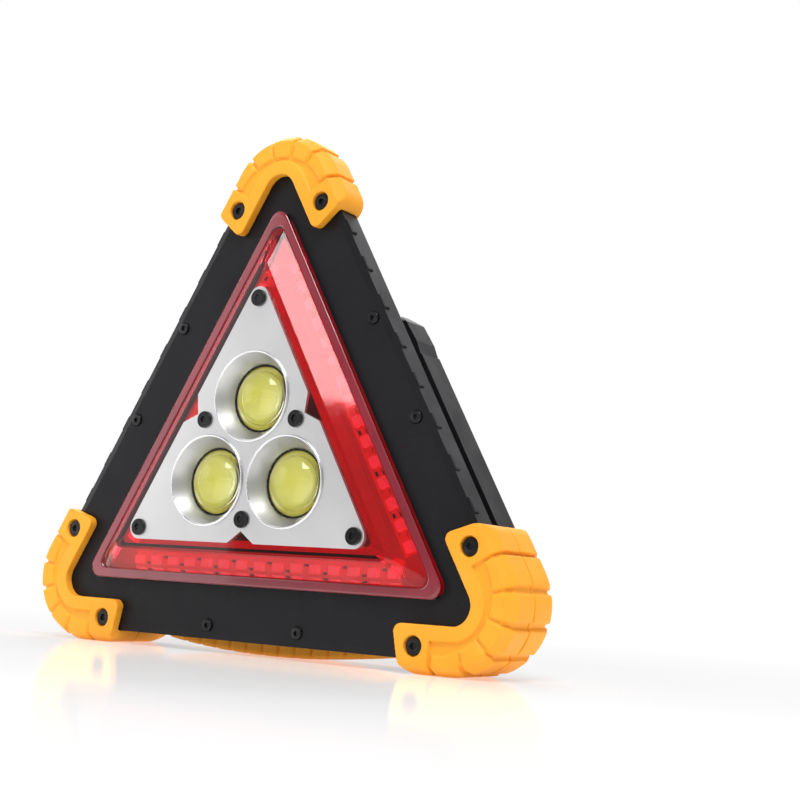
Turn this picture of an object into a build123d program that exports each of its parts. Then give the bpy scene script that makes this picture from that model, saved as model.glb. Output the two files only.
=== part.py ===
from build123d import *
import math
import os

os.makedirs("parts", exist_ok=True)

# A triangular battery work light with a fold-out stand, in millimetres.
# The pieces are drawn looking at the front of the lamp: x to the right, y up from the centre of the
# triangle, z out of the front face.  "save" stands the lamp up, so that the front faces -Y.
# The parts behind the lamp (battery housing, cover, stand) are drawn from a rear datum, where the
# bezel face is at z = -REAR_DATUM, and "save_rear" brings them to the front datum.

# ---- driving dimensions ----
CENTRE_HEIGHT = 68.0
FRONT_Z = 10.56
REAR_Z = -30.3
REAR_DATUM = 4.0
FRAME_INRADIUS = 63.5
FRAME_CORNER = 22.0
BEZEL_THICK = 5.0
BEZEL_RIM = 2.4
BEZEL_RIM_DROP = 0.6
TRAY_BACK_Z = -9.6
TRAY_FLOOR_Z = -6.6
TRAY_WALL = 2.5
WINDOW_INRADIUS = 44.8
WINDOW_CORNER = 4.0
LENS_RIM_Z = 2.0
LENS_SLOPE_FOOT = 41.3
LENS_SLOPE_TOP = 34.0
LENS_TOP_Z = 8.5
PLATE_INRADIUS = 30.6
PLATE_CORNER = 4.05
PLATE_THICK = 1.2
CUP_RADIUS = 19.25
CUP_TOP = 15.0
CUP_FOOT = 11.3
CUP_FLOOR_Z = 3.4
GUARD_OUTER = 68.0
GUARD_OUTER_CORNER = 23.0
GUARD_BASE = 66.6
GUARD_BASE_CORNER = 21.6
GUARD_TAPER = 2.6
GUARD_TAPER_DEEP = 4.2
GUARD_STEP = 1.0
GUARD_BACK_Z = -11.0
GUARD_INNER = 52.5
GUARD_INNER_CORNER = 6.5
GUARD_SCREW_RADIUS = 89.0
GUARD_SCREW_ANGLE = 11.8
HOUSING_INRADIUS = 43.4
HOUSING_CORNER = 10.5
HOUSING_WALL = 2.0
HOUSING_FRONT_Z = TRAY_FLOOR_Z - REAR_DATUM
HOUSING_BACK_Z = -29.8
COVER_FRONT_Z = -30.6
COVER_BACK_Z = -33.8
COVER_SCREW_RADIUS = 63.0
PIVOT_Y = 42.0
PIVOT_Z = -23.1
PIN_RADIUS = 2.5
PIN_CLEARANCE = 0.06
STAND_FRONT_Z = -17.4
STAND_BACK_Z = -28.8
ARM_INNER = 49.3
BAR_INNER = 52.1
BUTTON_X = -12.7
BUTTON_Y = 32.3
BUTTON_RADIUS = 7.2
FLAP_X = 7.9
FLAP_Y = 32.4
FLAP_WIDTH = 19.4
FLAP_HEIGHT = 15.0
FLAP_HINGE_Y = 39.1
FLAP_HINGE_Z = -33.3
DOOR_HALF_WIDTH = 37.0
DOOR_TOP_Y = 14.3
DOOR_THICK = 2.0
CELL_RADIUS = 9.1
CELL_LENGTH = 65.0

SIDES = (0, 120, 240)


def save(shape, name):
    standing = Pos(0, (FRONT_Z + REAR_Z) / 2, CENTRE_HEIGHT) * Rot(90, 0, 0) * shape
    export_step(standing, f"parts/{name}.step")


def save_rear(shape, name):
    save(Pos(0, 0, REAR_DATUM) * shape, name)


def triangle(inradius, corner):
    flat = RegularPolygon(inradius, 3, major_radius=False, rotation=90)
    return fillet(flat.vertices(), corner)


def prism(outline, z0, z1):
    return extrude(Pos(0, 0, z0) * outline, amount=z1 - z0)


def cylinder(x, y, radius, z0, z1):
    return Pos(x, y, (z0 + z1) / 2) * Cylinder(radius, z1 - z0)


def block(x0, x1, y0, y1, z0, z1):
    middle = Pos((x0 + x1) / 2, (y0 + y1) / 2, (z0 + z1) / 2)
    return middle * Box(x1 - x0, y1 - y0, z1 - z0)


def polar(radius, degrees):
    angle = math.radians(degrees)
    return radius * math.sin(angle), radius * math.cos(angle)


def around(shape):
    return [Rot(0, 0, turn) * shape for turn in SIDES]


def total(shapes):
    whole = shapes[0]
    for shape in shapes[1:]:
        whole = whole + shape
    return whole


def group(shapes):
    return Compound(children=[s.solid() for s in shapes])


# ---- screw places ----
guard_screw_places = []
for side in SIDES:
    for angle in (-GUARD_SCREW_ANGLE, GUARD_SCREW_ANGLE):
        guard_screw_places.append(polar(GUARD_SCREW_RADIUS, side + angle))

bezel_screw_places = []
for side in SIDES:
    for along in (-19.2, 19.2):
        outward = Rot(0, 0, side) * Pos(along, -58.8, 0)
        bezel_screw_places.append((outward.position.X, outward.position.Y))

corner_screw_places = [polar(53.1, side) for side in SIDES]
middle_screw_places = [polar(22.6, side + 60) for side in SIDES]
cup_places = [polar(CUP_RADIUS, side) for side in SIDES]
cover_screw_places = [polar(COVER_SCREW_RADIUS, side) for side in SIDES]


def screw(x, y, head_radius, head_z0, head_z1, shank_radius, shank_z0):
    head = cylinder(x, y, head_radius, head_z0, head_z1)
    rim = head.edges().group_by(Axis.Z)[-1]
    head = fillet(rim, (head_z1 - head_z0) * 0.3)
    socket_deep = (head_z1 - head_z0) * 0.6
    socket = Pos(x, y, head_z1) * extrude(RegularPolygon(head_radius * 0.5, 6), amount=-socket_deep)
    return head - socket + cylinder(x, y, shank_radius, shank_z0, head_z0)


# ---- lamp frame: bezel in front, tray behind ----
frame_outline = triangle(FRAME_INRADIUS, FRAME_CORNER)
bezel = prism(frame_outline, -BEZEL_THICK, -BEZEL_RIM_DROP)
bezel = bezel + loft([
    Pos(0, 0, -BEZEL_RIM_DROP) * frame_outline,
    triangle(FRAME_INRADIUS - BEZEL_RIM, FRAME_CORNER - BEZEL_RIM),
])
bezel = bezel - prism(triangle(WINDOW_INRADIUS, WINDOW_CORNER), -2.2, 1)
bezel = bezel - prism(triangle(49.0, 6), -6, -2.2)

tray = prism(frame_outline, TRAY_BACK_Z, -BEZEL_THICK)
tray_inside = triangle(FRAME_INRADIUS - TRAY_WALL, FRAME_CORNER - TRAY_WALL)
tray = tray - prism(tray_inside, TRAY_BACK_Z - 1, TRAY_FLOOR_Z)
apex_rib = block(-0.9, 0.9, 78.5, 104, TRAY_BACK_Z + 0.6, TRAY_FLOOR_Z)
branch = block(-0.8, 0.8, 0, 12, TRAY_BACK_Z + 0.6, TRAY_FLOOR_Z)
branches = Pos(0, 91, 0) * Rot(0, 0, 120) * branch + Pos(0, 91, 0) * Rot(0, 0, -120) * branch
ribs = total(around(apex_rib + branches))
tray = tray + (ribs & prism(tray_inside, TRAY_BACK_Z, TRAY_FLOOR_Z))

# small raised pads along the front edge of the two upper side walls
side_pad = block(-2.8, 2.8, -FRAME_INRADIUS - 0.7, -FRAME_INRADIUS + 0.5, -3.6, -0.7)
side_pad = chamfer(side_pad.faces().sort_by(Axis.Y)[0].edges(), 0.35)
for side in SIDES[1:]:
    for index in range(8):
        bezel = bezel + Rot(0, 0, side) * Pos(15.4 * (index - 3.5), 0, 0) * side_pad

for x, y in bezel_screw_places:
    bezel = bezel - cylinder(x, y, 1.15, -6, 1) - cylinder(x, y, 2.3, -0.5, 1)
    tray = tray + cylinder(x, y, 2.6, TRAY_BACK_Z + 0.2, TRAY_FLOOR_Z)
    tray = tray - cylinder(x, y, 1.15, TRAY_BACK_Z + 0.7, 0)

for x, y in guard_screw_places:
    bezel = bezel - cylinder(x, y, 1.65, -6, 1)
    tray = tray + cylinder(x, y, 3.2, TRAY_BACK_Z, TRAY_FLOOR_Z)
    tray = tray - cylinder(x, y, 1.65, TRAY_BACK_Z - 1, 0)

wire_hole = cylinder(0, 26, 3.0, TRAY_FLOOR_Z - 1, 0)
tray = tray - wire_hole
save(bezel, "front_bezel")
save(tray, "rear_tray")
save(group([screw(x, y, 2.05, -0.5, 0.7, 1.1, -8.6) for x, y in bezel_screw_places]), "bezel_screws")

# ---- red lens: flange, rim, sloped band and the flat that carries the reflector plate ----
flange = prism(triangle(48.6, 6), -4.0, -2.2)
rim = prism(triangle(WINDOW_INRADIUS, WINDOW_CORNER), -2.2, LENS_RIM_Z)
slope = loft([
    Pos(0, 0, LENS_RIM_Z) * triangle(LENS_SLOPE_FOOT, 3.2),
    Pos(0, 0, LENS_TOP_Z) * triangle(LENS_SLOPE_TOP, 2.0),
])
lens = flange + rim + slope
hollow = prism(triangle(WINDOW_INRADIUS - 1.6, 3.0), -5, LENS_RIM_Z - 1.6)
hollow_slope = loft([
    Pos(0, 0, LENS_RIM_Z - 1.6) * triangle(LENS_SLOPE_FOOT - 1.8, 2.4),
    Pos(0, 0, LENS_TOP_Z - 1.6) * triangle(LENS_SLOPE_TOP - 1.8, 1.4),
])
lens = lens - hollow - hollow_slope
for x, y in cup_places:
    lens = lens - cylinder(x, y, CUP_TOP + 0.9, 0, 10)
for x, y in corner_screw_places + middle_screw_places:
    lens = lens - cylinder(x, y, 1.3, 0, 10)
save(lens, "red_lens")

# ---- reflector plate with three cups ----
notch_wedge = Polygon((-6.4, -31.2), (6.4, -31.2), (0, -26.5), align=None)
plate_outline = triangle(PLATE_INRADIUS, PLATE_CORNER)
for side in SIDES:
    plate_outline = plate_outline - Rot(0, 0, side) * notch_wedge
plate = prism(plate_outline, LENS_TOP_Z, LENS_TOP_Z + PLATE_THICK)
for x, y in cup_places:
    cup_outside = Pos(x, y, (CUP_FLOOR_Z + LENS_TOP_Z) / 2) * Cone(
        CUP_FOOT + 0.9, CUP_TOP + 0.6, LENS_TOP_Z - CUP_FLOOR_Z
    )
    lip = cylinder(x, y, CUP_TOP + 0.7, LENS_TOP_Z, LENS_TOP_Z + PLATE_THICK + 0.35)
    plate = plate + cup_outside + lip
for x, y in cup_places:
    plate = plate - Pos(x, y, (CUP_FLOOR_Z + 10.05) / 2) * Cone(CUP_FOOT, CUP_TOP, 10.05 - CUP_FLOOR_Z)
for x, y in corner_screw_places + middle_screw_places:
    plate = plate - cylinder(x, y, 1.3, 0, 10)
save(plate, "reflector_plate")

# ---- heat sink, light sources and dome lenses behind the cups ----
heat_sink = prism(triangle(29.0, 4.0), -4.4, 0.4)
for x, y in corner_screw_places + middle_screw_places:
    heat_sink = heat_sink + cylinder(x, y, 2.6, 0.4, LENS_TOP_Z - 1.6)
    heat_sink = heat_sink - cylinder(x, y, 1.15, -3, 10)
for slot in range(-5, 6):
    heat_sink = heat_sink - block(slot * 6.0 - 1.2, slot * 6.0 + 1.2, -26, 14, -5, -2.4)
save(heat_sink, "heat_sink")
plate_screw_places = corner_screw_places + middle_screw_places
save(group([screw(x, y, 2.9, 9.7, FRONT_Z, 1.1, -1.5) for x, y in plate_screw_places]), "plate_screws")

cob_leds = []
domes = []
for x, y in cup_places:
    board = block(x - 9.5, x + 9.5, y - 9.5, y + 9.5, 0.4, 1.8)
    emitter = cylinder(x, y, 7.5, 1.8, 2.4)
    cob_leds.append(board + emitter)
    ball = Pos(x, y, 3.4 + 6.2 - 12.9) * Sphere(12.9)
    dome = (ball & cylinder(x, y, 11.0, 3.4, 12)) + cylinder(x, y, 11.2, 2.6, 3.4)
    dome = dome - cylinder(x, y, 8.2, 2.0, 2.9)
    domes.append(dome)
save(group(cob_leds), "cob_leds")
save(group(domes), "dome_lenses")

# ---- red warning strips: one board and fifteen small lights per side ----
strip_half = 57.0
strip = block(-strip_half, strip_half, -39.8, -33.6, -4.4, -3.4)
save(group([Rot(0, 0, side) * strip for side in SIDES]), "led_strips")
red_leds = []
for side in SIDES:
    for index in range(15):
        x = (index - 7.0) * 7.8
        red_leds.append(Rot(0, 0, side) * block(x - 1.75, x + 1.75, -38.2, -35.4, -3.4, -1.8))
save(group(red_leds), "red_leds")

# ---- corner guards ----
ARC_HEIGHT = 2 * (GUARD_OUTER - GUARD_OUTER_CORNER)
ARC_LENGTH = GUARD_OUTER_CORNER * math.radians(60)


def groove_at(distance, z0, z1):
    reach = abs(distance)
    way = 1 if distance > 0 else -1
    if reach < ARC_LENGTH:
        angle = math.degrees(distance / GUARD_OUTER_CORNER)
        dx, dy = polar(GUARD_OUTER_CORNER, angle)
        place = (dx, ARC_HEIGHT + dy)
    else:
        angle = 60.0 * way
        dx, dy = polar(GUARD_OUTER_CORNER, angle)
        extra = reach - ARC_LENGTH
        place = (dx + way * 0.5 * extra, ARC_HEIGHT + dy - 0.866 * extra)
    outline = Polygon(
        (-0.6, -12), (0.6, -12), (0.8, -1.4), (1.5, 0.1), (1.5, 3), (-1.5, 3), (-1.5, 0.1), (-0.8, -1.4),
        align=None,
    )
    cutter = prism(outline, z0, z1)
    return Pos(place[0], place[1], 0) * Rot(0, 0, -angle) * cutter


reach_mask = Polygon((0, 62.3), (40, 98), (40, 140), (-40, 140), (-40, 98), align=None)
tread_mask = Polygon((0, 84.6), (40, 107.7), (40, 140), (-40, 140), (-40, 107.7), align=None)


def guard_outline(inradius, corner):
    outline = (triangle(inradius, corner) - triangle(GUARD_INNER, GUARD_INNER_CORNER)) & reach_mask
    outline = fillet([v for v in outline.vertices() if v.Y < 88 and abs(v.X) > 22], 6.0)
    return fillet([v for v in outline.vertices() if v.Y < 78.5], 2.6)


guard_base = guard_outline(GUARD_BASE, GUARD_BASE_CORNER)
lip_ring = guard_base & triangle(57.2, 11.2)
pads = Polygon((0.6, 60), (70, 60), (70, 90), (40.6, 106.6), (0.6, 83.5), align=None)
pads = (pads + mirror(pads, Plane.YZ)) & guard_outline(GUARD_OUTER, GUARD_OUTER_CORNER)


def envelope(inset, z_back, z_front, faces_front):
    # the side of the guard: upright, then leaning in towards the face that carries the screws
    upright = triangle(GUARD_OUTER - inset, GUARD_OUTER_CORNER - inset)
    narrow = triangle(GUARD_OUTER - GUARD_TAPER - inset, GUARD_OUTER_CORNER - GUARD_TAPER - inset)
    if faces_front:
        bend = z_front - GUARD_TAPER_DEEP
        leaning = loft([Pos(0, 0, bend) * upright, Pos(0, 0, z_front) * narrow])
        return prism(upright, z_back, bend) + leaning
    bend = z_back + GUARD_TAPER_DEEP
    leaning = loft([Pos(0, 0, z_back) * narrow, Pos(0, 0, bend) * upright])
    return prism(upright, bend, z_front) + leaning


def tread_guard(z_back, z_front, faces_front):
    # the base drops below the lip and the treads, so that the gaps between the treads show
    low = z_back if faces_front else z_back + GUARD_STEP
    high = z_front - GUARD_STEP if faces_front else z_front
    base = prism(guard_base, low, high) & envelope(GUARD_OUTER - GUARD_BASE, z_back, z_front, faces_front)
    ring = (triangle(GUARD_OUTER + 1, GUARD_OUTER_CORNER + 1) - triangle(61.8, 18.8)) & tread_mask
    treads = prism(ring, z_back + 0.15, z_front - 0.15)
    for distance in (-17.25, -5.75, 5.75, 17.25):
        treads = treads - groove_at(distance, z_back - 1, z_front + 1)
    whole = base + treads + prism(lip_ring, z_back, z_front) + prism(pads, z_back, z_front)
    return whole & envelope(0, z_back, z_front, faces_front)


lamp_guard = tread_guard(GUARD_BACK_Z, 3.5, True)
frame_body = prism(frame_outline, TRAY_BACK_Z, 0)
lamp_guard = lamp_guard - frame_body
for angle in (-GUARD_SCREW_ANGLE, GUARD_SCREW_ANGLE):
    x, y = polar(GUARD_SCREW_RADIUS, angle)
    lamp_guard = lamp_guard - cylinder(x, y, 1.65, -20, 5) - cylinder(x, y, 3.3, 1.2, 5)
    lamp_guard = lamp_guard - Pos(x, y, -13) * extrude(RegularPolygon(3.4, 6), amount=2.8)
for side, name in ((0, "top"), (120, "left"), (240, "right")):
    save(Rot(0, 0, side) * lamp_guard, f"corner_guard_{name}")
save(group([screw(x, y, 2.9, 1.2, 2.6, 1.55, -10.7) for x, y in guard_screw_places]), "guard_screws")
nut = extrude(RegularPolygon(3.2, 6), amount=0.7) - Pos(0, 0, 0.5) * Cylinder(1.6, 3)
save(group([Pos(x, y, -10.9) * nut for x, y in guard_screw_places]), "guard_nuts")

# ---- stand: two arms, a crossbar, and rounded hinge ends ----
stand_outer = triangle(FRAME_INRADIUS, FRAME_CORNER)
stand_inner = triangle(ARM_INNER, 6)
below_pivot = Polygon((-140, -90), (140, -90), (140, 36), (-140, 36), align=None)
arms_and_bar = (stand_outer - stand_inner) & below_pivot
inner_shave = Polygon((-62, -BAR_INNER), (62, -BAR_INNER), (62, -ARM_INNER), (-62, -ARM_INNER), align=None)
stand = prism(arms_and_bar - inner_shave, STAND_BACK_Z, STAND_FRONT_Z)

top_outline = Polygon(
    (32.7, 34), (52.9, 34), (50.2, 40.5), (45.5, 47.5), (41, 50.0), (32.7, 50.0), align=None
)
top_outline = fillet([v for v in top_outline.vertices() if v.Y > 39], 2.5)
arm_top = prism(top_outline, STAND_BACK_Z, STAND_FRONT_Z)
barrel = Pos(0, PIVOT_Y, PIVOT_Z) * Rot(0, 90, 0) * Cylinder(8.0, 200)
barrel = barrel + block(-100, 100, 20, PIVOT_Y, -40, 0)
arm_top = arm_top & barrel
for way in (0, 1):
    piece = mirror(arm_top, Plane.YZ) if way else arm_top
    stand = stand + piece
bore = Pos(0, PIVOT_Y, PIVOT_Z) * Rot(0, 90, 0) * Cylinder(PIN_RADIUS + PIN_CLEARANCE, 86)
stand = stand - bore


def arm_pocket(low, high, inner, outer, deep):
    # measured along the right-hand side: up from its middle, and out from the lamp centre
    pocket = block(low, high, inner, outer, STAND_BACK_Z - 1, STAND_BACK_Z + deep)
    pocket = fillet(pocket.edges().filter_by(Axis.Z), 0.8)
    return Rot(0, 0, -60) * mirror(pocket, Plane.YZ)


pockets = []
for low, high, deep in ((17.4, 21.6, 2.4), (12.0, 16.2, 2.4)):
    pockets.append(arm_pocket(low, high, 51.0, 55.6, deep))
    pockets.append(arm_pocket(low, high, 57.0, 60.6, deep))
for low, high in ((-8.0, 7.5), (-25.5, -9.5), (-42.5, -27.0), (-57.0, -44.0)):
    pockets.append(arm_pocket(low, high, 51.0, 55.6, 8.0))
for low, high in ((-1.5, 7.5), (-19.0, -3.0), (-36.5, -20.5), (-57.0, -38.0)):
    pockets.append(arm_pocket(low, high, 57.2, 61.8, 8.0))
bar_pocket = block(49.0, 57.5, -61.5, -54.0, STAND_BACK_Z - 1, STAND_BACK_Z + 8)
pockets.append(fillet(bar_pocket.edges().filter_by(Axis.Z), 0.8))
for pocket in pockets:
    stand = stand - pocket - mirror(pocket, Plane.YZ)

stand_screw_places = guard_screw_places[2:]
for x, y in stand_screw_places:
    stand = stand - cylinder(x, y, 1.3, STAND_BACK_Z - 1, STAND_BACK_Z + 9)
save_rear(stand, "stand_frame")

# ---- stand guards ----
stand_envelope = prism(stand_outer, STAND_BACK_Z, STAND_FRONT_Z)
stand_guard = tread_guard(-30.6, -15.4, False)
stand_guard = stand_guard - stand_envelope
for angle in (-GUARD_SCREW_ANGLE, GUARD_SCREW_ANGLE):
    x, y = polar(GUARD_SCREW_RADIUS, angle)
    stand_guard = stand_guard - cylinder(x, y, 1.35, -32, -28)
    stand_guard = stand_guard - cylinder(x, y, 3.3, -32, -29.3)
save_rear(Rot(0, 0, 120) * stand_guard, "stand_guard_left")
save_rear(Rot(0, 0, 240) * stand_guard, "stand_guard_right")
back_screws = []
for x, y in stand_screw_places:
    back_screws.append(mirror(screw(x, y, 2.9, 29.3, 30.5, 1.2, 22.0), Plane.XY))
save_rear(group(back_screws), "stand_guard_screws")

# ---- grip on the crossbar ----
GRIP_HALF = 47.0


def grip_shape(inset):
    half = GRIP_HALF - inset
    top = -52.4 - inset
    low = -64.6 + inset
    face = make_face([
        ThreePointArc((-half, top), (0, top + 2.0), (half, top)),
        Line((half, top), (half, low)),
        ThreePointArc((half, low), (0, -CENTRE_HEIGHT + inset), (-half, low)),
        Line((-half, low), (-half, top)),
    ])
    return prism(face, -31.6 + inset, -14.8 - inset)


grip = grip_shape(0)
grip = fillet(grip.edges().filter_by(Axis.Z), 2.0)
grip = chamfer([e for e in grip.edges() if e.length > 60], 1.2)
grip = grip - block(-60, 60, -FRAME_INRADIUS, -BAR_INNER, STAND_BACK_Z, STAND_FRONT_Z)
grip_core = grip_shape(0.9)
for index in range(12):
    x = (index - 5.5) * 7.0
    grip = grip - (block(x - 0.55, x + 0.55, -70, -49, -33, -14) - grip_core)
save_rear(grip, "grip")

# ---- battery housing with hinge lugs ----
housing_outline = triangle(HOUSING_INRADIUS, HOUSING_CORNER)
inside_outline = triangle(HOUSING_INRADIUS - HOUSING_WALL, HOUSING_CORNER - HOUSING_WALL)
lobe_radius = 2 * (HOUSING_INRADIUS - HOUSING_CORNER)
lobed_outline = housing_outline
for side in SIDES:
    x, y = polar(lobe_radius, side)
    lobed_outline = lobed_outline + Pos(x, y) * Circle(11.2)

housing = prism(lobed_outline, HOUSING_BACK_Z, HOUSING_FRONT_Z)
lug = block(18, 32.2, 27, 51, -29.6, -14.5)
lug = chamfer(lug.faces().sort_by(Axis.X)[-1].edges().sort_by(Axis.Z)[0], 2.0)
ear = cylinder(23.5, 55.8, 4.4, -25.4, HOUSING_FRONT_Z)
ear = ear + block(16, 23.5, 51, 58, -24.4, HOUSING_FRONT_Z)
for piece in (lug, ear):
    housing = housing + piece + mirror(piece, Plane.YZ)
cavity = prism(inside_outline, HOUSING_BACK_Z - 1, HOUSING_FRONT_Z - 1.3)
housing = housing - cavity
for x, y in cover_screw_places:
    housing = housing + cylinder(x, y, 4.2, HOUSING_BACK_Z, HOUSING_FRONT_Z - 1)
    housing = housing - cylinder(x, y, 1.3, HOUSING_BACK_Z - 1, -16)
for way in (-1, 1):
    housing = housing - cylinder(way * 23.5, 55.8, 1.3, -26, -12)
pin_hole = Pos(0, PIVOT_Y, PIVOT_Z) * Rot(0, 90, 0) * Cylinder(PIN_RADIUS, 80)
housing = housing - pin_hole
housing = housing - cylinder(0, 26, 3.0, -14, 0)
save_rear(housing, "battery_housing")

gasket = prism(triangle(HOUSING_INRADIUS + 0.5, HOUSING_CORNER + 0.5), COVER_FRONT_Z, HOUSING_BACK_Z)
gasket = gasket - prism(triangle(HOUSING_INRADIUS - 1.6, HOUSING_CORNER - 1.6), -32, -29)
for x, y in cover_screw_places:
    gasket = gasket - cylinder(x, y, 1.3, -32, -29)
save_rear(gasket, "housing_gasket")

pins = []
for way in (-1, 1):
    middle = way * (22.6 + 41.5) / 2
    pins.append(Pos(middle, PIVOT_Y, PIVOT_Z) * Rot(0, 90, 0) * Cylinder(PIN_RADIUS, 18.9))
save_rear(group(pins), "hinge_pins")
ear_screws = []
for way in (-1, 1):
    ear_screws.append(mirror(screw(way * 23.5, 55.8, 2.7, 25.4, 26.8, 1.2, 16.0), Plane.XY))
save_rear(group(ear_screws), "hinge_ear_screws")

# ---- rear cover with openings for the button, the charging flap and the battery door ----
cover = prism(lobed_outline, COVER_BACK_Z, COVER_FRONT_Z)
cover = chamfer(cover.faces().sort_by(Axis.Z)[0].edges(), 0.8)
cover = cover - prism(inside_outline, COVER_FRONT_Z - 1.2, -20)
for x, y in cover_screw_places:
    cover = cover + cylinder(x, y, 4.6, COVER_FRONT_Z - 1.3, COVER_FRONT_Z)
    cover = cover - cylinder(x, y, 1.5, -40, -28) - cylinder(x, y, 3.3, -40, -32.4)
button_ring = cylinder(BUTTON_X, BUTTON_Y, 9.2, COVER_BACK_Z - 1, COVER_BACK_Z + 0.5)
cover = cover - button_ring - cylinder(BUTTON_X, BUTTON_Y, BUTTON_RADIUS + 0.35, -40, -28)
flap_recess = block(
    FLAP_X - FLAP_WIDTH / 2 - 0.35, FLAP_X + FLAP_WIDTH / 2 + 0.35,
    FLAP_Y - FLAP_HEIGHT / 2 - 0.5, FLAP_Y + FLAP_HEIGHT / 2 + 0.35,
    -40, -32.2,
)
flap_recess = fillet(flap_recess.edges().filter_by(Axis.Z), 2.6)
socket_hole = block(FLAP_X - 7.6, FLAP_X + 7.6, FLAP_Y - 4.6, FLAP_Y + 3.6, -40, -28)
cover = cover - flap_recess - socket_hole
door_hole = block(-DOOR_HALF_WIDTH, DOOR_HALF_WIDTH, -50, DOOR_TOP_Y, -40, COVER_BACK_Z + DOOR_THICK + 0.1)
cell_window = block(-34.5, 34.5, -41.1, 13.9, -40, -28)
cover = cover - door_hole - cell_window
seam = block(-12, 12, 66.6, 67.0, -40, COVER_BACK_Z + 0.3)
cover = cover - seam
save_rear(cover, "rear_cover")
cover_screws = []
for x, y in cover_screw_places:
    cover_screws.append(mirror(screw(x, y, 2.9, 32.4, 33.4, 1.2, 18.0), Plane.XY))
save_rear(group(cover_screws), "cover_screws")

# ---- battery door ----
door = block(-DOOR_HALF_WIDTH + 0.35, DOOR_HALF_WIDTH - 0.35, -43.3, DOOR_TOP_Y - 0.35,
             COVER_BACK_Z, COVER_BACK_Z + DOOR_THICK)
door = fillet([e for e in door.edges().filter_by(Axis.Z) if e.center().Y > 0], 1.0)
door = door - block(-9, 9, -44, -41.6, -40, COVER_BACK_Z + 1.0)
for index in range(4):
    rib_y = -36.5 + 1.8 * index
    door = door + block(-8, 8, rib_y, rib_y + 0.8, COVER_BACK_Z - 0.35, COVER_BACK_Z)
save_rear(door, "battery_door")

# ---- charging flap ----
flap = block(
    FLAP_X - FLAP_WIDTH / 2, FLAP_X + FLAP_WIDTH / 2,
    FLAP_Y - FLAP_HEIGHT / 2, FLAP_Y + FLAP_HEIGHT / 2,
    -34.1, -32.5,
)
flap = fillet(flap.edges().filter_by(Axis.Z), 2.4)
flap = flap - block(FLAP_X - 20, FLAP_X + 20, FLAP_HINGE_Y, FLAP_HINGE_Y + 5, -36, -30)
# the strap at the hinge is narrower than the flap, so that its corners clear the recess
for way in (-1, 1):
    strap_side = FLAP_X + way * 10.0
    flap = flap - block(strap_side - 2.0, strap_side + 2.0, FLAP_HINGE_Y - 1.4, FLAP_HINGE_Y + 5, -36, -30)
flap = flap + Pos(FLAP_X, FLAP_HINGE_Y, FLAP_HINGE_Z) * Rot(0, 90, 0) * Cylinder(0.8, FLAP_WIDTH - 5.0)
ring_icon = cylinder(FLAP_X, FLAP_Y, 3.6, -34.3, -34.1) - cylinder(FLAP_X, FLAP_Y, 2.9, -35, -34)
flap = flap + ring_icon
for way in (-1, 1):
    dot_x = FLAP_X + way * 6.6
    flap = flap + (cylinder(dot_x, FLAP_Y, 1.2, -34.3, -34.1) - cylinder(dot_x, FLAP_Y, 0.7, -35, -34))
flap = flap + block(FLAP_X - 6.4, FLAP_X + 6.4, FLAP_Y - 3.3, FLAP_Y + 2.4, -32.5, -31.2)
save_rear(flap, "charging_flap")

# ---- power button ----
button = cylinder(BUTTON_X, BUTTON_Y, BUTTON_RADIUS, -34.2, -31.6)
button = fillet(button.edges().group_by(Axis.Z)[0], 0.5)
button = button + cylinder(BUTTON_X, BUTTON_Y, BUTTON_RADIUS + 1.1, -31.6, -30.9)
button = button + cylinder(BUTTON_X, BUTTON_Y, 2.0, -30.9, -29.8)
symbol = cylinder(BUTTON_X, BUTTON_Y, 4.2, -34.3, -34.2) - cylinder(BUTTON_X, BUTTON_Y, 3.4, -35, -34)
symbol = symbol - block(BUTTON_X - 1.2, BUTTON_X + 1.2, BUTTON_Y, BUTTON_Y + 6, -35, -34)
symbol = symbol + block(BUTTON_X - 0.4, BUTTON_X + 0.4, BUTTON_Y + 0.6, BUTTON_Y + 4.2, -34.3, -34.2)
button = button + symbol
save_rear(button, "power_button")

# ---- driver board and its parts ----
board = Polygon((-24, 18.5), (24, 18.5), (12.5, 44), (-12.5, 44), align=None)
board = prism(board, -24.6, -23.0) - cylinder(0, 26, 2.5, -30, -20)
save_rear(board, "driver_board")
socket_shell = block(FLAP_X - 7.0, FLAP_X + 7.0, 29.3, 35.5, -30.4, -24.6)
save_rear(socket_shell - block(FLAP_X - 6.2, FLAP_X + 6.2, 30.0, 34.8, -31, -25.8), "charge_socket")
switch_body = block(BUTTON_X - 3, BUTTON_X + 3, BUTTON_Y - 3, BUTTON_Y + 3, -27.6, -24.6)
save_rear(switch_body + cylinder(BUTTON_X, BUTTON_Y, 1.6, -28.3, -27.6), "push_switch")
chips = [
    block(-3.2, 3.2, 37.2, 41.6, -26.2, -24.6),
    block(14.6, 19.2, 20.4, 25.0, -27.4, -24.6),
    cylinder(-18.5, 22.6, 2.5, -29.0, -24.6),
    block(-8.0, -4.4, 20.6, 23.0, -25.6, -24.6),
]
save_rear(group(chips), "board_components")

# ---- battery cells, their end springs and the holder ----
cells = []
springs = []
for index in range(3):
    y = -31.9 + index * 18.3
    flip = -1 if index % 2 else 1
    body = Pos(0, y, -21.2) * Rot(0, 90, 0) * Cylinder(CELL_RADIUS, CELL_LENGTH - 1.5)
    tip = Pos(flip * (CELL_LENGTH / 2 - 0.4), y, -21.2) * Rot(0, 90, 0) * Cylinder(3.0, 0.9)
    cells.append(body + tip)
    for way in (-1, 1):
        springs.append(block(way * 33.45 - 0.3, way * 33.45 + 0.3, y - 4, y + 4, -25, -16))
save_rear(group(cells), "battery_cells")
save_rear(group(springs), "battery_contacts")

wire_paths = []
for offset in (-1.1, 1.1):
    wire_paths.append(cylinder(offset, 26, 0.6, -23.0, -4.4 - REAR_DATUM))
save_rear(group(wire_paths), "led_wires")
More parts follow.
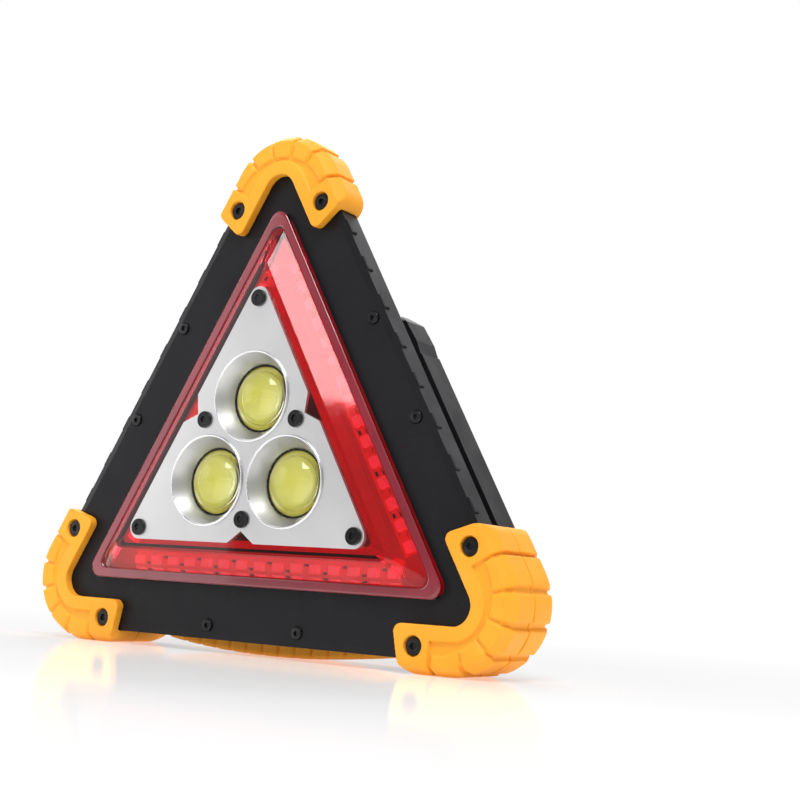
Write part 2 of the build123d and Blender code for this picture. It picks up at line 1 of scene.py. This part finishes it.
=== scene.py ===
import math
import bmesh
import bpy
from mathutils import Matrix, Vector


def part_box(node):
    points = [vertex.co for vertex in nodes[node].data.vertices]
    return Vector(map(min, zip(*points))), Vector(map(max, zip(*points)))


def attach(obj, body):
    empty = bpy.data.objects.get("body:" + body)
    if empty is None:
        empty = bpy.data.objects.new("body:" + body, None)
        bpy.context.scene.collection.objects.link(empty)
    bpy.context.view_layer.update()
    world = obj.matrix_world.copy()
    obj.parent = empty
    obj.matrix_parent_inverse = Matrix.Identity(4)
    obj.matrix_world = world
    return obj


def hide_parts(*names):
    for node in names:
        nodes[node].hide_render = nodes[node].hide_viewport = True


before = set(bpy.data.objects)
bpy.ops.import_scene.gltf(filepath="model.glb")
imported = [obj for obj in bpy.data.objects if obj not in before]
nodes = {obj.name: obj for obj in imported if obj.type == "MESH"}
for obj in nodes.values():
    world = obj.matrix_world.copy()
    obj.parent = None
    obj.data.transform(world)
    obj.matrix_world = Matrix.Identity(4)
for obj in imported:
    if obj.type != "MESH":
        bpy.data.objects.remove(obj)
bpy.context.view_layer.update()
scene = bpy.context.scene
scene.view_settings.view_transform = "Standard"

# The lamp is described in millimetres from the centre of its triangle:
# x right, y up, z out of the front.
SCREW_HEADS_ABOVE_FACE = 0.01056
FACE_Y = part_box("plate_screws")[0].y + SCREW_HEADS_ABOVE_FACE
MID_Z = 0.068
TURNS = (0.0, 120.0, 240.0)

CUP_REACH = 19.25           # from the centre of the lamp to the centre of a cup
LIGHT_PITCH = 7.8           # between two red lights of a strip
LIGHTS_PER_SIDE = 15
BOARD_TOP_Z = -3.4          # the face of the strip boards
SKIN = 0.12                 # how thick the thin added parts are


def lamp(x, y, z):
    """A point given in the lamp's own millimetres, in the frame's metres."""
    return Vector((x / 1000, FACE_Y - z / 1000, MID_Z + y / 1000))


def polar(radius, degrees):
    """The x and y of a point; the angle runs clockwise from straight up."""
    angle = math.radians(degrees)
    return radius * math.sin(angle), radius * math.cos(angle)


# ---------------------------------------------------------------- material helpers

def add(tree, kind, **values):
    """A new node; each value goes to the socket of that name, or else to the setting."""
    node = tree.nodes.new(kind)
    for key, value in values.items():
        if key in node.inputs:
            node.inputs[key].default_value = value
        else:
            setattr(node, key, value)
    return node


def start(name, **sockets):
    """A new material with constants on its Principled sockets, an underscore for each space."""
    material = bpy.data.materials.new(name)
    material.use_nodes = True
    tree = material.node_tree
    shader = tree.nodes["Principled BSDF"]
    for key, value in sockets.items():
        shader.inputs[key.replace("_", " ")].default_value = value
    return material, tree, shader


def object_noise(tree, scale, detail=3.0, stretch=(1, 1, 1)):
    """Noise in object space, in features per metre."""
    coords = tree.nodes.new("ShaderNodeTexCoord")
    mapping = add(tree, "ShaderNodeMapping", Scale=stretch)
    noise = add(tree, "ShaderNodeTexNoise", Scale=scale, Detail=detail)
    tree.links.new(coords.outputs["Object"], mapping.inputs["Vector"])
    tree.links.new(mapping.outputs["Vector"], noise.inputs["Vector"])
    return noise.outputs["Fac"]


def spread(tree, value, low, high, from_low=0.3, from_high=0.7):
    """The value mapped from its own range to low..high, and kept inside it."""
    node = tree.nodes.new("ShaderNodeMapRange")
    node.inputs["From Min"].default_value = from_low
    node.inputs["From Max"].default_value = from_high
    node.inputs["To Min"].default_value = low
    node.inputs["To Max"].default_value = high
    tree.links.new(value, node.inputs["Value"])
    return node.outputs["Result"]


def two_tone(tree, value, first, second, low=0.35, high=0.65):
    """A colour that runs from first to second as the value goes from low to high."""
    ramp = tree.nodes.new("ShaderNodeValToRGB")
    ramp.color_ramp.elements[0].position = low
    ramp.color_ramp.elements[0].color = (*first, 1)
    ramp.color_ramp.elements[1].position = high
    ramp.color_ramp.elements[1].color = (*second, 1)
    tree.links.new(value, ramp.inputs["Fac"])
    return ramp.outputs["Color"]


def bumped(tree, shader, value, strength, distance):
    """Surface relief from the value; the distance is in metres."""
    bump = add(tree, "ShaderNodeBump", Strength=strength, Distance=distance)
    tree.links.new(value, bump.inputs["Height"])
    tree.links.new(bump.outputs["Normal"], shader.inputs["Normal"])


def product(tree, first, second):
    node = add(tree, "ShaderNodeMath", operation="MULTIPLY")
    tree.links.new(first, node.inputs[0])
    tree.links.new(second, node.inputs[1])
    return node.outputs["Value"]


def blended(tree, amount, first, second):
    """The first colour, a socket, turned into the second, a constant, by the amount."""
    mix = add(tree, "ShaderNodeMix", data_type="RGBA")
    tree.links.new(amount, mix.inputs["Factor"])
    tree.links.new(first, mix.inputs["A"])
    mix.inputs["B"].default_value = (*second, 1)
    return mix.outputs["Result"]


def edge_amount(tree, radius):
    """How near a point is to an edge: how far the rounded normal leans from the true one."""
    rounded = add(tree, "ShaderNodeBevel", samples=4, Radius=radius)
    geometry = tree.nodes.new("ShaderNodeNewGeometry")
    dot = add(tree, "ShaderNodeVectorMath", operation="DOT_PRODUCT")
    tree.links.new(rounded.outputs["Normal"], dot.inputs[0])
    tree.links.new(geometry.outputs["Normal"], dot.inputs[1])
    return spread(tree, dot.outputs["Value"], 1.0, 0.0, from_low=0.80, from_high=0.985)


# depths and distances on the surface, in metres
EDGE_RADIUS = 0.0005        # how far the wear reaches in from an edge
GRAIN_DEPTH = 0.0001
STREAK_DEPTH = 0.00002
WAVE_DEPTH = 0.0002


def moulded(name, first, second, rough, grain, strength,
            worn=None, wear=0.5, painted_hollow_shade=None, **sockets):
    """A moulding with mottled colour, uneven gloss and fine grain.

    With a worn colour it has paler edges and faint scuffs, and with a shade colour its hollows get
    painted shade.
    """
    material, tree, shader = start(name, **sockets)
    colour = two_tone(tree, object_noise(tree, 28.0, 5.0), first, second)
    if worn:
        scuffs = spread(tree, object_noise(tree, 160.0, 6.0, (1.0, 1.0, 0.25)),
                        0.0, 0.5, from_low=0.58, from_high=0.72)
        patchy = spread(tree, object_noise(tree, 300.0, 3.0),
                        0.0, wear, from_low=0.40, from_high=0.66)
        edges = product(tree, edge_amount(tree, EDGE_RADIUS), patchy)
        colour = blended(tree, edges, colour, worn)
        colour = blended(tree, product(tree, scuffs, patchy), colour, worn)
    # painted shade: where the surface curves inwards it is darkened towards the shade colour
    if painted_hollow_shade:
        hollow = tree.nodes.new("ShaderNodeNewGeometry").outputs["Pointiness"]
        depth = spread(tree, hollow, 0.85, 0.0, from_low=0.40, from_high=0.482)
        colour = blended(tree, depth, colour, painted_hollow_shade)
    tree.links.new(colour, shader.inputs["Base Color"])
    roughness = spread(tree, object_noise(tree, 90.0, 4.0), rough - 0.05, rough + 0.07)
    tree.links.new(roughness, shader.inputs["Roughness"])
    bumped(tree, shader, object_noise(tree, grain, 2.0), strength, GRAIN_DEPTH)
    return material


# name, the two base colours, roughness, grain in features per metre, grain strength
black = moulded("black_plastic", (0.0062, 0.0060, 0.0075), (0.0092, 0.0088, 0.0108),
                0.46, 2400, 0.14,
                worn=(0.034, 0.034, 0.038), wear=0.35, Specular_IOR_Level=0.20)
# the orange rubber gets painted shade in its grooves and hollows
orange = moulded("orange_rubber", (0.90, 0.365, 0.016), (0.98, 0.42, 0.026),
                 0.56, 1500, 0.16,
                 worn=(1.0, 0.55, 0.10), wear=0.4, painted_hollow_shade=(0.36, 0.085, 0.004),
                 Specular_IOR_Level=0.32, Subsurface_Weight=0.12,
                 Subsurface_Radius=(0.004, 0.0016, 0.0004), Subsurface_Scale=0.5)
red_rubber = moulded("red_rubber", (0.66, 0.018, 0.030), (0.76, 0.028, 0.042),
                     0.48, 1800, 0.14,
                     worn=(0.85, 0.12, 0.13), wear=0.3, Specular_IOR_Level=0.35)
gasket = moulded("black_rubber", (0.010, 0.010, 0.010), (0.018, 0.018, 0.018), 0.62, 1500, 0.2)
screw_black = moulded("black_oxide", (0.012, 0.012, 0.013), (0.028, 0.027, 0.028),
                      0.28, 900, 0.2,
                      worn=(0.20, 0.19, 0.18), wear=0.6, Metallic=0.7)
steel = moulded("bare_steel", (0.42, 0.42, 0.43), (0.55, 0.55, 0.56),
                0.28, 700, 0.15, Metallic=1.0)
cast = moulded("heat_sink", (0.45, 0.45, 0.46), (0.58, 0.58, 0.6), 0.42, 900, 0.2, Metallic=1.0)
board_green = moulded("green_board", (0.012, 0.10, 0.03), (0.02, 0.15, 0.05), 0.32, 800, 0.1)
chip = moulded("chip", (0.02, 0.02, 0.02), (0.035, 0.035, 0.035), 0.5, 1500, 0.2)
sleeve = moulded("cell_sleeve", (0.02, 0.09, 0.30), (0.03, 0.12, 0.38), 0.25, 500, 0.08)
wire = moulded("wire_sleeve", (0.5, 0.02, 0.02), (0.6, 0.04, 0.04), 0.38, 700, 0.1)


def metal(name, first, second, rough, scale, stretch=(1, 1, 1), strength=0.04, **sockets):
    """Satin metal; the streaks run along the direction that stretch makes small."""
    material, tree, shader = start(name, Metallic=1.0, **sockets)
    streaks = object_noise(tree, scale, 3.0, stretch)
    cloud = object_noise(tree, 22.0, 4.0)
    tree.links.new(two_tone(tree, cloud, first, second), shader.inputs["Base Color"])
    roughness = spread(tree, streaks, rough - 0.03, rough + 0.05)
    tree.links.new(roughness, shader.inputs["Roughness"])
    bumped(tree, shader, streaks, strength, STREAK_DEPTH)
    return material


silver = metal("silver_plate", (0.60, 0.60, 0.605), (0.70, 0.70, 0.705),
               0.37, 2600.0, stretch=(0.05, 1, 1), strength=0.06)
polished = metal("polished_rim", (0.78, 0.78, 0.79), (0.86, 0.86, 0.87), 0.24, 900.0)
turned = metal("turned_cup", (0.72, 0.72, 0.73), (0.80, 0.80, 0.81), 0.26, 900.0, Anisotropic=0.85)
turned_tree = turned.node_tree
round_axis = add(turned_tree, "ShaderNodeTangent", direction_type="RADIAL", axis="Y")
turned_tree.links.new(round_axis.outputs["Tangent"],
                      turned_tree.nodes["Principled BSDF"].inputs["Tangent"])


def clear(name, first, second, cloud, gloss, smooth_to_rough, waves, strength, **sockets):
    """Clear plastic: a tint that varies a little, uneven gloss and faint moulding waves."""
    material, tree, shader = start(name, Transmission_Weight=1.0, **sockets)
    tint = two_tone(tree, object_noise(tree, *cloud), first, second)
    tree.links.new(tint, shader.inputs["Base Color"])
    roughness = spread(tree, object_noise(tree, *gloss), *smooth_to_rough)
    tree.links.new(roughness, shader.inputs["Roughness"])
    bumped(tree, shader, object_noise(tree, waves, 2.0), strength, WAVE_DEPTH)
    return material


# cloud and gloss are the scale and the detail of a noise
red_clear = clear("red_lens", (0.93, 0.030, 0.062), (0.97, 0.046, 0.085),
                  cloud=(50.0, 3.0), gloss=(240.0, 3.0), smooth_to_rough=(0.02, 0.07),
                  waves=120.0, strength=0.03, IOR=1.45, Specular_IOR_Level=0.60,
                  Sheen_Weight=0.24, Sheen_Roughness=0.25, Sheen_Tint=(1.0, 0.72, 0.76, 1.0))
dome = clear("clear_dome", (0.93, 0.95, 0.62), (0.98, 0.99, 0.74),
             cloud=(90.0, 2.0), gloss=(300.0, 2.0), smooth_to_rough=(0.06, 0.11),
             waves=60.0, strength=0.02, IOR=1.49)


def painted_glow(material, colour, strength):
    """The material with a faint glow of its own, so that it doesn't come out too dark: painted
    light on the parts of the lamp, an even brightness on the floor.
    """
    shader = material.node_tree.nodes["Principled BSDF"]
    shader.inputs["Emission Color"].default_value = (*colour, 1)
    shader.inputs["Emission Strength"].default_value = strength
    return material


# painted light: the phosphor, the strip boards, the red lights and the lens liner glow faintly
# though no light of the lamp is on
phosphor = painted_glow(
    moulded("phosphor", (0.74, 0.70, 0.14), (0.85, 0.80, 0.24), 0.5, 1800, 0.3),
    (0.82, 0.74, 0.18), 0.17)
red_board = painted_glow(
    moulded("strip_board", (0.58, 0.02, 0.03), (0.72, 0.03, 0.04), 0.42, 900, 0.1),
    (1.0, 0.03, 0.06), 0.34)
red_light = painted_glow(
    moulded("red_light", (0.95, 0.80, 0.78), (1.0, 0.86, 0.84), 0.3, 900, 0.05),
    (1.0, 0.80, 0.78), 0.46)
liner = painted_glow(
    moulded("lens_liner", (0.42, 0.012, 0.022), (0.54, 0.020, 0.032), 0.38, 500, 0.1),
    (1.0, 0.02, 0.05), 0.15)
lens_edge = moulded("lens_edge", (0.20, 0.008, 0.020), (0.27, 0.012, 0.028), 0.16, 300, 0.05,
                    Coat_Weight=0.7, Coat_IOR=1.55, Coat_Roughness=0.06)
solder = moulded("solder", (0.75, 0.30, 0.30), (0.9, 0.4, 0.4), 0.35, 1500, 0.1)
ink = moulded("dark_part", (0.05, 0.005, 0.006), (0.09, 0.008, 0.010), 0.4, 1200, 0.1)

PAINT = (
    (black, ("front_bezel", "rear_tray", "battery_housing", "rear_cover", "stand_frame",
             "battery_door")),
    (orange, ("corner_guard_top", "corner_guard_left", "corner_guard_right",
              "stand_guard_left", "stand_guard_right", "grip")),
    (screw_black, ("guard_screws", "bezel_screws", "plate_screws", "stand_guard_screws",
                   "hinge_ear_screws", "cover_screws", "guard_nuts")),
    (steel, ("hinge_pins", "charge_socket", "battery_contacts")),
    (red_rubber, ("charging_flap", "power_button")),
    (chip, ("push_switch", "board_components")),
    (red_clear, ("red_lens",)),
    (silver, ("reflector_plate",)),
    (cast, ("heat_sink",)),
    (phosphor, ("cob_leds",)),
    (dome, ("dome_lenses",)),
    (red_board, ("led_strips",)),
    (red_light, ("red_leds",)),
    (gasket, ("housing_gasket",)),
    (board_green, ("driver_board",)),
    (sleeve, ("battery_cells",)),
    (wire, ("led_wires",)),
)
for material, names in PAINT:
    for name in names:
        nodes[name].data.materials.clear()
        nodes[name].data.materials.append(material)


# ---------------------------------------------------------------- pieces

def piece(name, mesh, body, material):
    """A new object in the scene that rides on the body."""
    obj = bpy.data.objects.new(name, mesh)
    scene.collection.objects.link(obj)
    obj.data.materials.clear()
    obj.data.materials.append(material)
    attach(obj, body)
    return obj


def shade_smooth(mesh):
    for face in mesh.polygons:
        face.use_smooth = True


VOXEL = 0.00036


def soft_copy(node, body, rounds):
    """The node's shape as one soft moulding: remeshed finely, then its edges rounded."""
    source = bpy.data.objects.new("work", nodes[node].data.copy())
    scene.collection.objects.link(source)
    remesh = source.modifiers.new("even", "REMESH")
    remesh.mode = "VOXEL"
    remesh.voxel_size = VOXEL
    smooth = source.modifiers.new("round", "SMOOTH")
    smooth.factor = 0.5
    smooth.iterations = rounds
    graph = bpy.context.evaluated_depsgraph_get()
    mesh = bpy.data.meshes.new_from_object(source.evaluated_get(graph))
    bpy.data.objects.remove(source)
    shade_smooth(mesh)
    obj = piece(node + "_moulding", mesh, body, orange)
    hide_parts(node)


for node in ("corner_guard_top", "corner_guard_left", "corner_guard_right"):
    soft_copy(node, "lamp", rounds=4)
for node in ("stand_guard_left", "stand_guard_right", "grip"):
    soft_copy(node, "stand", rounds=3)


def join(bm, lower, upper):
    """A closed band of faces between two rings of vertices."""
    for step in range(len(lower)):
        after = (step + 1) % len(lower)
        bm.faces.new((lower[step], lower[after], upper[after], upper[step]))


def finished(bm, name):
    mesh = bpy.data.meshes.new(name)
    bm.to_mesh(mesh)
    bm.free()
    return mesh


def closed_ring(name, outlines):
    """A mesh through the outlines, lists of points, from the last one back to the first."""
    bm = bmesh.new()
    rings = [[bm.verts.new(point) for point in outline] for outline in outlines]
    for lower, upper in zip(rings, rings[1:] + rings[:1]):
        join(bm, lower, upper)
    bmesh.ops.recalc_face_normals(bm, faces=bm.faces)
    return finished(bm, name)


LATHE_STEPS = 96
CORNER_STEPS = 10


def lathe(name, centre, profile, material):
    """A turned ring round a point; the profile is a closed loop of (radius, z) pairs."""
    outlines = []
    for radius, z in profile:
        outline = []
        for step in range(LATHE_STEPS):
            angle = 2 * math.pi * step / LATHE_STEPS
            outline.append(lamp(centre[0] + radius * math.cos(angle),
                                centre[1] + radius * math.sin(angle), z))
        outlines.append(outline)
    mesh = closed_ring(name, outlines)
    shade_smooth(mesh)
    piece(name, mesh, "lamp", material)


def triangle_ring(name, profile, material):
    """A triangular ring; the profile is a closed loop of (inradius, corner radius, z)."""
    outlines = []
    for inradius, corner, z in profile:
        outline = []
        for turn in (0, -120, -240):
            cx, cy = polar(2 * (inradius - corner), turn)
            for step in range(CORNER_STEPS + 1):
                dx, dy = polar(corner, turn + 60 - 120 * step / CORNER_STEPS)
                outline.append(lamp(cx + dx, cy + dy, z))
        outlines.append(outline)
    piece(name, closed_ring(name, outlines), "lamp", material)


# the turned bowl inside each cup: radius and z at its foot, their growth to its mouth,
# the powers that curve it, and how far its outside lies from its inside
BOWL_FOOT = (11.45, 3.9)
BOWL_GROWTH = (3.40, 5.80)
BOWL_CURVE = (0.8, 1.15)
BOWL_STEPS = 14
BOWL_DROP = 0.10
# the bright bead round the mouth: radius and z of its centre line, and its half sizes
BEAD_CENTRE = (15.42, 9.98)
BEAD_HALF = (0.36, 0.28)
BEAD_STEPS = 16
# the thin dark ring round the foot of the dome: painted shade for the gap where the dome meets the
# cup; radius and z
DOME_SHADOW_RING = [(11.05, 3.6), (11.08, 4.0), (11.2, 4.12), (11.42, 4.02), (11.42, 3.6)]

for index, turn in enumerate(TURNS):
    centre = polar(CUP_REACH, turn)
    bowl = []
    for step in range(BOWL_STEPS + 1):
        t = step / BOWL_STEPS
        bowl.append((BOWL_FOOT[0] + BOWL_GROWTH[0] * t ** BOWL_CURVE[0],
                     BOWL_FOOT[1] + BOWL_GROWTH[1] * t ** BOWL_CURVE[1]))
    outside = [(radius + SKIN, z - BOWL_DROP) for radius, z in reversed(bowl)]
    lathe(f"cup_bowl_{index}", centre, bowl + outside, turned)
    bead = []
    for step in range(BEAD_STEPS):
        angle = 2 * math.pi * step / BEAD_STEPS
        bead.append((BEAD_CENTRE[0] - BEAD_HALF[0] * math.cos(angle),
                     BEAD_CENTRE[1] + BEAD_HALF[1] * math.sin(angle)))
    lathe(f"cup_rim_{index}", centre, bead, polished)
    # painted shade round the foot of each dome
    lathe(f"dome_shadow_ring_{index}", centre, DOME_SHADOW_RING, gasket)

# the red moulded tray that lies behind the lens
inside_face = [
    (47.6, 5.2, -4.25), (43.4, 3.2, -4.2), (41.0, 2.8, -3.95),
    (33.2, 2.0, -3.95), (31.0, 1.6, -3.95), (29.6, 1.4, 5.6),
]
back_face = [(inradius - SKIN, corner, z - SKIN) for inradius, corner, z in reversed(inside_face)]
triangle_ring("lens_liner", inside_face + back_face, liner)

# the flat rim of the lens, where the moulding is thickest and looks darkest
triangle_ring("lens_rim_face", [
    (41.5, 2.95, 1.95), (41.65, 3.0, 2.2), (41.9, 3.05, 2.3),
    (44.0, 3.75, 2.3), (44.5, 3.9, 2.15), (44.7, 3.95, 1.9),
], lens_edge)


CHIP_CORNERS = ((-1, -1), (1, -1), (1, 1), (-1, 1))
CHIP_BEVEL = 0.12
CHIP_TOP_SCALE = 0.88


def chips(name, places, half_size, top_z, material):
    """Many small parts on the strip boards, (turn, along, across) each, as one mesh."""
    levels = ((BOARD_TOP_Z, 1.0), (top_z - CHIP_BEVEL, 1.0), (top_z, CHIP_TOP_SCALE))
    bm = bmesh.new()
    for turn, along, across in places:
        cos, sin = math.cos(math.radians(turn)), math.sin(math.radians(turn))
        rings = []
        for z, scale in levels:
            ring = []
            for side, end in CHIP_CORNERS:
                u = along + side * half_size[0] * scale
                v = across + end * half_size[1] * scale
                ring.append(bm.verts.new(lamp(u * cos - v * sin, u * sin + v * cos, z)))
            rings.append(ring)
        for lower, upper in zip(rings, rings[1:]):
            join(bm, lower, upper)
        bm.faces.new(rings[-1])
        bm.faces.new(rings[0][::-1])
    piece(name, finished(bm, name), "lamp", material)


# one resistor between each two lights, in two rows by turns, and two pads beside it
RESISTOR_ROWS = (-37.9, -35.6)
RESISTOR_HALF = (0.75, 0.42)
RESISTOR_TOP_Z = -2.9
PAD_PLACES = ((-1.5, -38.6), (1.6, -34.7))
PAD_HALF = (0.5, 0.3)
PAD_TOP_Z = -3.28
resistors = []
pads = []
for turn in TURNS:
    for index in range(LIGHTS_PER_SIDE - 1):
        along = (index - (LIGHTS_PER_SIDE - 2) / 2) * LIGHT_PITCH
        resistors.append((turn, along, RESISTOR_ROWS[index % 2]))
        for offset, across in PAD_PLACES:
            pads.append((turn, along + offset, across))
chips("strip_resistors", resistors, RESISTOR_HALF, RESISTOR_TOP_Z, ink)
chips("strip_pads", pads, PAD_HALF, PAD_TOP_Z, solder)


# ---------------------------------------------------------------- floor, light and camera

FLOOR_CORNERS = [(-6, -4, 0), (6, -4, 0), (6, 6, 0), (-6, 6, 0)]
FLOOR_FADE = (0.14, 0.34)   # metres from the lamp where the white begins and where it is full
WHITE = (1, 1, 1, 1)


def make_floor():
    """A pale glossy floor that runs out into the white of the background."""
    mesh = bpy.data.meshes.new("floor")
    mesh.from_pydata(FLOOR_CORNERS, [], [(0, 1, 2, 3)])
    floor = bpy.data.objects.new("floor", mesh)
    scene.collection.objects.link(floor)
    material, tree, shader = start("floor_white", Roughness=0.09, Specular_IOR_Level=0.75)
    cloud = object_noise(tree, 3.0, 2.0)
    tint = two_tone(tree, cloud, (0.80, 0.80, 0.80), (0.83, 0.83, 0.83))
    tree.links.new(tint, shader.inputs["Base Color"])
    # a faint glow that keeps the floor evenly pale
    painted_glow(material, (1, 1, 1), 0.34)
    coords = tree.nodes.new("ShaderNodeTexCoord")
    length = add(tree, "ShaderNodeVectorMath", operation="LENGTH")
    tree.links.new(coords.outputs["Object"], length.inputs[0])
    far = spread(tree, length.outputs["Value"], 0.0, 1.0, *FLOOR_FADE)
    white = add(tree, "ShaderNodeEmission", Color=WHITE, Strength=1.0)
    mix = tree.nodes.new("ShaderNodeMixShader")
    tree.links.new(far, mix.inputs["Fac"])
    tree.links.new(shader.outputs["BSDF"], mix.inputs[1])
    tree.links.new(white.outputs["Emission"], mix.inputs[2])
    tree.links.new(mix.outputs["Shader"], tree.nodes["Material Output"].inputs["Surface"])
    mesh.materials.append(material)


make_floor()


def make_world():
    """White to the camera, and a soft grey room, paler above, to everything else."""
    world = bpy.data.worlds.new("studio")
    world.use_nodes = True
    scene.world = world
    tree = world.node_tree
    back = tree.nodes["Background"]
    out = tree.nodes["World Output"]
    back.inputs["Color"].default_value = WHITE
    back.inputs["Strength"].default_value = 1.0
    room = add(tree, "ShaderNodeBackground", Strength=0.85)
    coords = tree.nodes.new("ShaderNodeTexCoord")
    split = tree.nodes.new("ShaderNodeSeparateXYZ")
    tree.links.new(coords.outputs["Generated"], split.inputs["Vector"])
    height = spread(tree, split.outputs["Z"], 0.0, 1.0, from_low=-0.1, from_high=0.9)
    shade = two_tone(tree, height, (0.34, 0.34, 0.35), (0.62, 0.62, 0.62), 0.0, 1.0)
    tree.links.new(shade, room.inputs["Color"])
    path = tree.nodes.new("ShaderNodeLightPath")
    mix = tree.nodes.new("ShaderNodeMixShader")
    tree.links.new(path.outputs["Is Camera Ray"], mix.inputs["Fac"])
    tree.links.new(room.outputs["Background"], mix.inputs[1])
    tree.links.new(back.outputs["Background"], mix.inputs[2])
    tree.links.new(mix.outputs["Shader"], out.inputs["Surface"])


make_world()


AIM = Vector((0, 0, 0.075))


def softbox(name, azimuth, elevation, distance, width, height, power):
    """A rectangular light facing the lamp; the azimuth runs from its front to its right."""
    data = bpy.data.lights.new(name, "AREA")
    data.shape = "RECTANGLE"
    data.size = width
    data.size_y = height
    data.energy = power
    obj = bpy.data.objects.new(name, data)
    scene.collection.objects.link(obj)
    turn = math.radians(azimuth)
    rise = math.radians(elevation)
    way = Vector((math.sin(turn) * math.cos(rise),
                  -math.cos(turn) * math.cos(rise),
                  math.sin(rise)))
    obj.location = AIM + way * distance
    obj.rotation_euler = (-way).to_track_quat("-Z", "Y").to_euler()


# name, azimuth and elevation in degrees, distance, width and height in metres, watts
softbox("key", 38, 57, 1.2, 0.72, 0.50, 12)
softbox("left_front", -55, 14, 1.3, 0.75, 0.9, 2.6)
softbox("left_side", -92, 14, 1.3, 0.7, 0.8, 5)
softbox("right_back", 160, 36, 1.4, 0.9, 0.7, 2.2)
softbox("back", -150, 45, 1.4, 0.9, 0.7, 10)

# the photograph's camera, solved from the places of the lamp's screws
camera_data = bpy.data.cameras.new("camera")
camera_data.lens = 63.34
camera_data.sensor_width = 36.0
camera_data.clip_start = 0.01
camera = bpy.data.objects.new("camera", camera_data)
scene.collection.objects.link(camera)
camera.location = lamp(300.82, -40.48, 377.88)
camera.rotation_euler = (math.radians(97.44), math.radians(-3.69), math.radians(32.69))
scene.camera = camera
